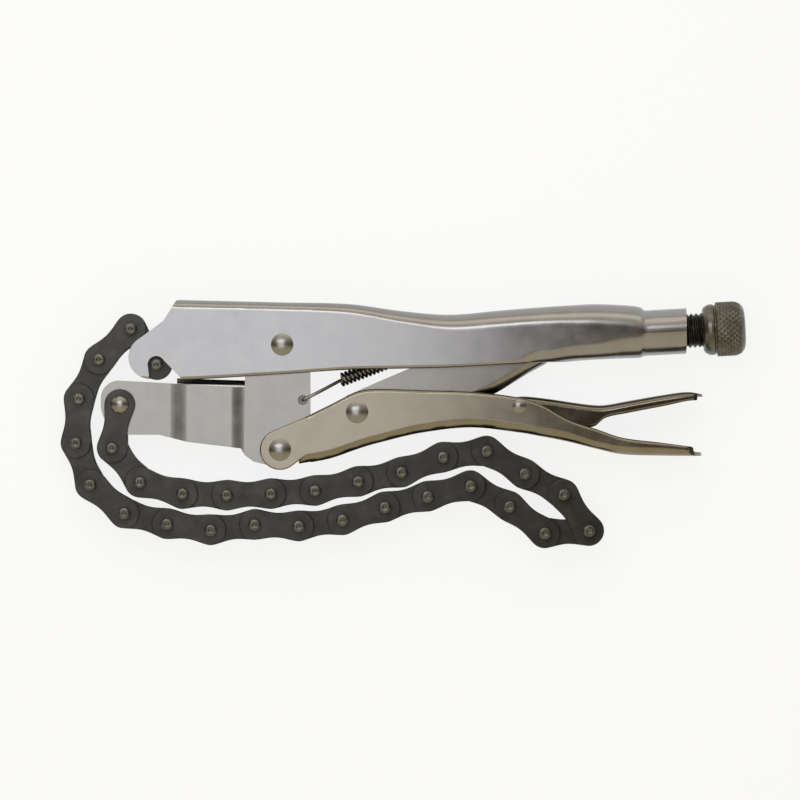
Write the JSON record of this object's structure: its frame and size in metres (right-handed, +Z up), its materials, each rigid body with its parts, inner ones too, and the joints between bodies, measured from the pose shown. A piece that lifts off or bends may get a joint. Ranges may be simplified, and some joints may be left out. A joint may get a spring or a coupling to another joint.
{
  "type": "locking chain pliers",
  "caption": "Locking chain pliers: pressed-steel handles with an over-centre toggle, a knurled adjusting screw and a riveted chain that hooks into the nose.",
  "frame": {"origin": "under the jaw rivet, on the table plane", "axes": "+X along the pliers towards the knob, +Y across the handles towards the upper handle, +Z up, along the rivets"},
  "size_m": [0.2465, 0.0893, 0.0204],
  "materials": {
    "plated_steel": "satin nickel plate",
    "bright_steel": "polished",
    "dark_steel": "black oxide",
    "chain_steel": "oiled black oxide",
    "spring_wire": "drawn wire"
  },
  "bodies": {
    "upper_handle": {"upper_handle": "plated_steel", "tail_tube": "plated_steel", "jaw_rivet": "bright_steel", "return_spring": "spring_wire"},
    "lower_jaw": {"lower_jaw": "plated_steel", "chain_anchor_rivet": "bright_steel"},
    "lower_handle": {"lower_handle": "plated_steel", "handle_rivet": "bright_steel", "toggle_rivet": "bright_steel", "release_rivet": "bright_steel"},
    "toggle_link": {"toggle_link": "plated_steel"},
    "release_lever": {"release_lever": "plated_steel"},
    "screw_tip": {"screw_tip": "dark_steel"},
    "screw": {"screw_shank": "dark_steel", "screw_knob": "dark_steel"},
    "chain_link_01": {"chain_link_01": "chain_steel"},
    "chain_link_02": {"chain_link_02": "chain_steel"},
    "chain_link_03": {"chain_link_03": "chain_steel"},
    "chain_link_04": {"chain_link_04": "chain_steel"},
    "chain_link_05": {"chain_link_05": "chain_steel"},
    "chain_link_06": {"chain_link_06": "chain_steel"},
    "chain_link_07": {"chain_link_07": "chain_steel"},
    "chain_link_08": {"chain_link_08": "chain_steel"},
    "chain_link_09": {"chain_link_09": "chain_steel"},
    "chain_link_10": {"chain_link_10": "chain_steel"},
    "chain_link_11": {"chain_link_11": "chain_steel"},
    "chain_link_12": {"chain_link_12": "chain_steel"},
    "chain_link_13": {"chain_link_13": "chain_steel"},
    "chain_link_14": {"chain_link_14": "chain_steel"},
    "chain_link_15": {"chain_link_15": "chain_steel"},
    "chain_link_16": {"chain_link_16": "chain_steel"},
    "chain_link_17": {"chain_link_17": "chain_steel"},
    "chain_link_18": {"chain_link_18": "chain_steel"},
    "chain_link_19": {"chain_link_19": "chain_steel"},
    "chain_link_20": {"chain_link_20": "chain_steel"},
    "chain_link_21": {"chain_link_21": "chain_steel"},
    "chain_link_22": {"chain_link_22": "chain_steel"},
    "chain_link_23": {"chain_link_23": "chain_steel"},
    "chain_link_24": {"chain_link_24": "chain_steel"},
    "chain_link_25": {"chain_link_25": "chain_steel"},
    "chain_link_26": {"chain_link_26": "chain_steel"},
    "chain_link_27": {"chain_link_27": "chain_steel"},
    "chain_link_28": {"chain_link_28": "chain_steel"},
    "chain_link_29": {"chain_link_29": "chain_steel"},
    "chain_link_30": {"chain_link_30": "chain_steel"}
  },
  "joints": [
    {"name": "handle_pivot", "type": "hinge", "parent": "lower_jaw", "child": "lower_handle", "pos_m": [-0.0008, -0.0378, 0.0102], "axis": [0, 0, -1], "range_deg": [0, 30.39]},
    {"name": "jaw_pivot", "type": "hinge", "parent": "upper_handle", "child": "lower_jaw", "pos_m": [0, 0, 0.0102], "axis": [0, 0, 1], "range_deg": [0, 6.1], "deforming": ["return_spring"]},
    {"name": "toggle_pivot", "type": "hinge", "parent": "lower_handle", "child": "toggle_link", "pos_m": [0.0269, -0.0243, 0.0102], "axis": [0, 0, 1], "range_deg": [0, 35.7]},
    {"name": "release_pivot", "type": "hinge", "parent": "lower_handle", "child": "release_lever", "pos_m": [0.0852, -0.022, 0.0102], "axis": [0, 0, -1], "range_deg": [0, 8]},
    {"name": "knob_turn", "type": "hinge", "parent": "screw_tip", "child": "screw", "pos_m": [0.1273, 0.004, 0.0102], "axis": [0.9986, 0.0523, 0], "range_deg": [0, 1805]},
    {"name": "screw_feed", "type": "slide", "parent": "upper_handle", "child": "screw_tip", "axis": [0.9986, 0.0523, 0], "range_m": [0, 0.00875]},
    {"name": "chain_pin_01", "type": "hinge", "parent": "lower_jaw", "child": "chain_link_01", "pos_m": [-0.0584, -0.0215, 0.0102], "axis": [0, 0, 1], "range_deg": [-12.4, 0]},
    {"name": "chain_pin_02", "type": "hinge", "parent": "chain_link_01", "child": "chain_link_02", "pos_m": [-0.06116, -0.03713, 0.0102], "axis": [0, 0, 1], "range_deg": [0, 5.2]},
    {"name": "chain_pin_03", "type": "hinge", "parent": "chain_link_02", "child": "chain_link_03", "pos_m": [-0.05117, -0.04947, 0.0102], "axis": [0, 0, 1], "range_deg": [0, 1.4]},
    {"name": "chain_pin_04", "type": "hinge", "parent": "chain_link_03", "child": "chain_link_04", "pos_m": [-0.03583, -0.05358, 0.0102], "axis": [0, 0, 1], "range_deg": [-9, 0]},
    {"name": "chain_pin_05", "type": "hinge", "parent": "chain_link_04", "child": "chain_link_05", "pos_m": [-0.01997, -0.05413, 0.0102], "axis": [0, 0, 1], "range_deg": [-6.8, 0]},
    {"name": "chain_pin_06", "type": "hinge", "parent": "chain_link_05", "child": "chain_link_06", "pos_m": [-0.0041, -0.05358, 0.0102], "axis": [0, 0, 1], "range_deg": [-1.9, 0]},
    {"name": "chain_pin_07", "type": "hinge", "parent": "chain_link_06", "child": "chain_link_07", "pos_m": [0.01174, -0.05247, 0.0102], "axis": [0, 0, 1], "range_deg": [0, 4.6]},
    {"name": "chain_pin_08", "type": "hinge", "parent": "chain_link_07", "child": "chain_link_08", "pos_m": [0.02726, -0.04917, 0.0102], "axis": [0, 0, -1], "range_deg": [0, 11.53]},
    {"name": "chain_pin_09", "type": "hinge", "parent": "chain_link_08", "child": "chain_link_09", "pos_m": [0.04279, -0.04587, 0.0102], "axis": [0, 0, 1], "range_deg": [-5.2, 0]},
    {"name": "chain_pin_10", "type": "hinge", "parent": "chain_link_09", "child": "chain_link_10", "pos_m": [0.05771, -0.04044, 0.0102], "axis": [0, 0, 1], "range_deg": [-2.4, 0]},
    {"name": "chain_pin_11", "type": "hinge", "parent": "chain_link_10", "child": "chain_link_11", "pos_m": [0.07343, -0.03823, 0.0102], "axis": [0, 0, 1], "range_deg": [0, 0.2]},
    {"name": "chain_pin_12", "type": "hinge", "parent": "chain_link_11", "child": "chain_link_12", "pos_m": [0.08704, -0.04641, 0.0102], "axis": [0, 0, 1], "range_deg": [0, 6.2]},
    {"name": "chain_pin_13", "type": "hinge", "parent": "chain_link_12", "child": "chain_link_13", "pos_m": [0.10105, -0.05386, 0.0102], "axis": [0, 0, 1], "range_deg": [0, 11.8]},
    {"name": "chain_pin_14", "type": "hinge", "parent": "chain_link_13", "child": "chain_link_14", "pos_m": [0.11016, -0.06686, 0.0102], "axis": [0, 0, 1], "range_deg": [-5, 0]},
    {"name": "chain_pin_15", "type": "hinge", "parent": "chain_link_14", "child": "chain_link_15", "pos_m": [0.09431, -0.0677, 0.0102], "axis": [0, 0, 1], "range_deg": [-7.4, 0]},
    {"name": "chain_pin_16", "type": "hinge", "parent": "chain_link_15", "child": "chain_link_16", "pos_m": [0.08163, -0.05814, 0.0102], "axis": [0, 0, 1], "range_deg": [-5.1, 0]},
    {"name": "chain_pin_17", "type": "hinge", "parent": "chain_link_16", "child": "chain_link_17", "pos_m": [0.06761, -0.05069, 0.0102], "axis": [0, 0, 1], "range_deg": [-3.6, 0]},
    {"name": "chain_pin_18", "type": "hinge", "parent": "chain_link_17", "child": "chain_link_18", "pos_m": [0.05221, -0.05453, 0.0102], "axis": [0, 0, 1], "range_deg": [0, 6]},
    {"name": "chain_pin_19", "type": "hinge", "parent": "chain_link_18", "child": "chain_link_19", "pos_m": [0.0368, -0.05837, 0.0102], "axis": [0, 0, 1], "range_deg": [0, 11]},
    {"name": "chain_pin_20", "type": "hinge", "parent": "chain_link_19", "child": "chain_link_20", "pos_m": [0.02162, -0.06301, 0.0102], "axis": [0, 0, 1], "range_deg": [0, 4.9]},
    {"name": "chain_pin_21", "type": "hinge", "parent": "chain_link_20", "child": "chain_link_21", "pos_m": [0.0059, -0.06522, 0.0102], "axis": [0, 0, 1], "range_deg": [0, 2.2]},
    {"name": "chain_pin_22", "type": "hinge", "parent": "chain_link_21", "child": "chain_link_22", "pos_m": [-0.00996, -0.06467, 0.0102], "axis": [0, 0, 1], "range_deg": [0, 1.1]},
    {"name": "chain_pin_23", "type": "hinge", "parent": "chain_link_22", "child": "chain_link_23", "pos_m": [-0.02572, -0.0666, 0.0102], "axis": [0, 0, 1], "range_deg": [-1, 0]},
    {"name": "chain_pin_24", "type": "hinge", "parent": "chain_link_23", "child": "chain_link_24", "pos_m": [-0.04144, -0.06439, 0.0102], "axis": [0, 0, 1], "range_deg": [0, 0.9]},
    {"name": "chain_pin_25", "type": "hinge", "parent": "chain_link_24", "child": "chain_link_25", "pos_m": [-0.05684, -0.06055, 0.0102], "axis": [0, 0, 1], "range_deg": [0, 1.1]},
    {"name": "chain_pin_26", "type": "hinge", "parent": "chain_link_25", "child": "chain_link_26", "pos_m": [-0.069, -0.05035, 0.0102], "axis": [0, 0, 1], "range_deg": [0, 1.5]},
    {"name": "chain_pin_27", "type": "hinge", "parent": "chain_link_26", "child": "chain_link_27", "pos_m": [-0.07417, -0.03534, 0.0102], "axis": [0, 0, 1], "range_deg": [0, 4.3]},
    {"name": "chain_pin_28", "type": "hinge", "parent": "chain_link_27", "child": "chain_link_28", "pos_m": [-0.07307, -0.0195, 0.0102], "axis": [0, 0, 1], "range_deg": [0, 8.8]},
    {"name": "chain_pin_29", "type": "hinge", "parent": "chain_link_28", "child": "chain_link_29", "pos_m": [-0.06586, -0.00536, 0.0102], "axis": [0, 0, 1], "range_deg": [0, 3.8]},
    {"name": "chain_pin_30", "type": "hinge", "parent": "chain_link_29", "child": "chain_link_30", "pos_m": [-0.05446, 0.00569, 0.0102], "axis": [0, 0, 1], "range_deg": [-9.1, 0]}
  ],
  "couplings": [
    {"joint": "jaw_pivot", "follows": "handle_pivot", "ratio": 0.19743},
    {"joint": "toggle_pivot", "follows": "handle_pivot", "ratio": 1.1704},
    {"joint": "knob_turn", "follows": "screw_feed", "rad_per_m": 3590.4},
    {"joint": "chain_pin_01", "follows": "handle_pivot", "ratio": -0.40561},
    {"joint": "chain_pin_02", "follows": "handle_pivot", "ratio": 0.16869},
    {"joint": "chain_pin_03", "follows": "handle_pivot", "ratio": 0.043288},
    {"joint": "chain_pin_04", "follows": "handle_pivot", "ratio": -0.2933},
    {"joint": "chain_pin_05", "follows": "handle_pivot", "ratio": -0.22097},
    {"joint": "chain_pin_06", "follows": "handle_pivot", "ratio": -0.059404},
    {"joint": "chain_pin_07", "follows": "handle_pivot", "ratio": 0.14942},
    {"joint": "chain_pin_09", "follows": "chain_pin_08", "ratio": -0.44239},
    {"joint": "chain_pin_10", "follows": "chain_pin_08", "ratio": -0.19749},
    {"joint": "chain_pin_11", "follows": "chain_pin_08", "ratio": 0.011058},
    {"joint": "chain_pin_12", "follows": "chain_pin_08", "ratio": 0.52569},
    {"joint": "chain_pin_13", "follows": "chain_pin_08", "ratio": 1.0172},
    {"joint": "chain_pin_14", "follows": "chain_pin_08", "ratio": -0.42325},
    {"joint": "chain_pin_15", "follows": "chain_pin_08", "ratio": -0.63473},
    {"joint": "chain_pin_16", "follows": "chain_pin_08", "ratio": -0.43287},
    {"joint": "chain_pin_17", "follows": "chain_pin_08", "ratio": -0.3017},
    {"joint": "chain_pin_18", "follows": "chain_pin_08", "ratio": 0.50946},
    {"joint": "chain_pin_19", "follows": "chain_pin_08", "ratio": 0.94776},
    {"joint": "chain_pin_20", "follows": "chain_pin_08", "ratio": 0.41963},
    {"joint": "chain_pin_21", "follows": "handle_pivot", "ratio": 0.067492},
    {"joint": "chain_pin_22", "follows": "handle_pivot", "ratio": 0.032967},
    {"joint": "chain_pin_23", "follows": "handle_pivot", "ratio": -0.030165},
    {"joint": "chain_pin_24", "follows": "handle_pivot", "ratio": 0.027711},
    {"joint": "chain_pin_25", "follows": "handle_pivot", "ratio": 0.03205},
    {"joint": "chain_pin_26", "follows": "handle_pivot", "ratio": 0.047637},
    {"joint": "chain_pin_27", "follows": "handle_pivot", "ratio": 0.13773},
    {"joint": "chain_pin_28", "follows": "handle_pivot", "ratio": 0.28486},
    {"joint": "chain_pin_29", "follows": "handle_pivot", "ratio": 0.12334},
    {"joint": "chain_pin_30", "follows": "handle_pivot", "ratio": -0.29505}
  ]
}
